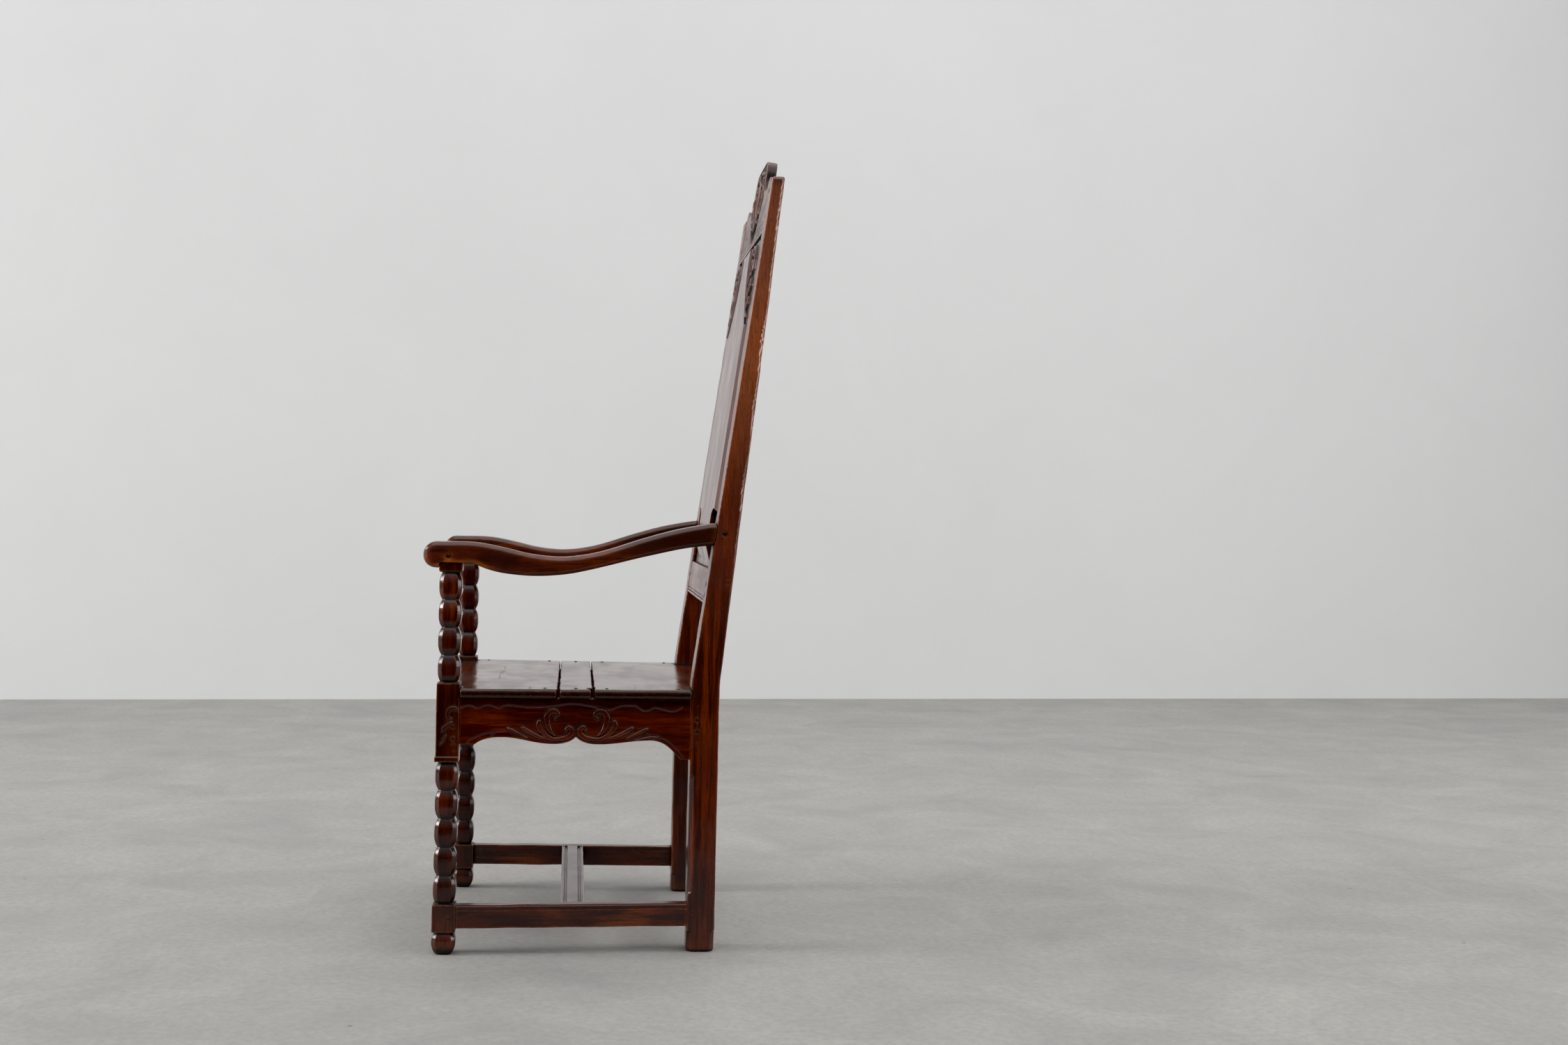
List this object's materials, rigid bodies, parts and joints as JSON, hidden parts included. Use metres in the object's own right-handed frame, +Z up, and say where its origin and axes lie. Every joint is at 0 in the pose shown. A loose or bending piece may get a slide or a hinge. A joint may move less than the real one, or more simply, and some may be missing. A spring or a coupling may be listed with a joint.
{
  "type": "wainscot armchair",
  "caption": "Joined wooden armchair with a tall raked panelled back, shaped crest, serpentine arms, bobbin-cut front posts, scalloped seat rails and low stretchers.",
  "frame": {"origin": "on the floor, in the middle of the chair's overall length and width", "axes": "+Z up, the sitter faces -Y, +X is the sitter's left"},
  "size_m": [0.6172, 0.6062, 1.3999],
  "materials": {
    "post_oak": "waxed, worn at the edges",
    "stile_oak": "waxed, worn at the edges",
    "arm_oak": "waxed, worn at the edges",
    "apron_oak": "waxed, worn at the edges",
    "plain_rail_oak": "waxed, worn at the edges",
    "stretcher_oak": "waxed, worn at the edges",
    "seat_oak": "waxed, worn at the edges",
    "back_rail_oak": "waxed, worn at the edges",
    "crest_oak": "waxed, worn at the edges",
    "panel_oak": "waxed, worn at the edges",
    "peg_oak": "waxed, worn at the edges",
    "nail_iron": "hand-forged, dark with age"
  },
  "bodies": {
    "root": {"left_front_post": "post_oak", "right_front_post": "post_oak", "left_rear_stile": "stile_oak", "right_rear_stile": "stile_oak", "left_arm": "arm_oak", "right_arm": "arm_oak", "left_seat_rail": "apron_oak", "right_seat_rail": "apron_oak", "front_seat_rail": "apron_oak", "rear_seat_rail": "plain_rail_oak", "left_side_stretcher": "stretcher_oak", "right_side_stretcher": "stretcher_oak", "centre_stretcher": "stretcher_oak", "front_seat_board": "seat_oak", "middle_seat_board": "seat_oak", "rear_seat_board": "seat_oak", "back_bottom_rail": "back_rail_oak", "crest_rail": "crest_oak", "back_panel": "panel_oak", "arm_post_pegs": "peg_oak", "arm_stile_pegs": "peg_oak", "side_rail_pegs": "peg_oak", "front_rail_pegs": "peg_oak", "rear_rail_pegs": "peg_oak", "stretcher_pegs": "peg_oak", "back_rail_pegs": "peg_oak", "crest_pegs": "peg_oak", "seat_nails": "nail_iron"}
  },
  "joints": []
}
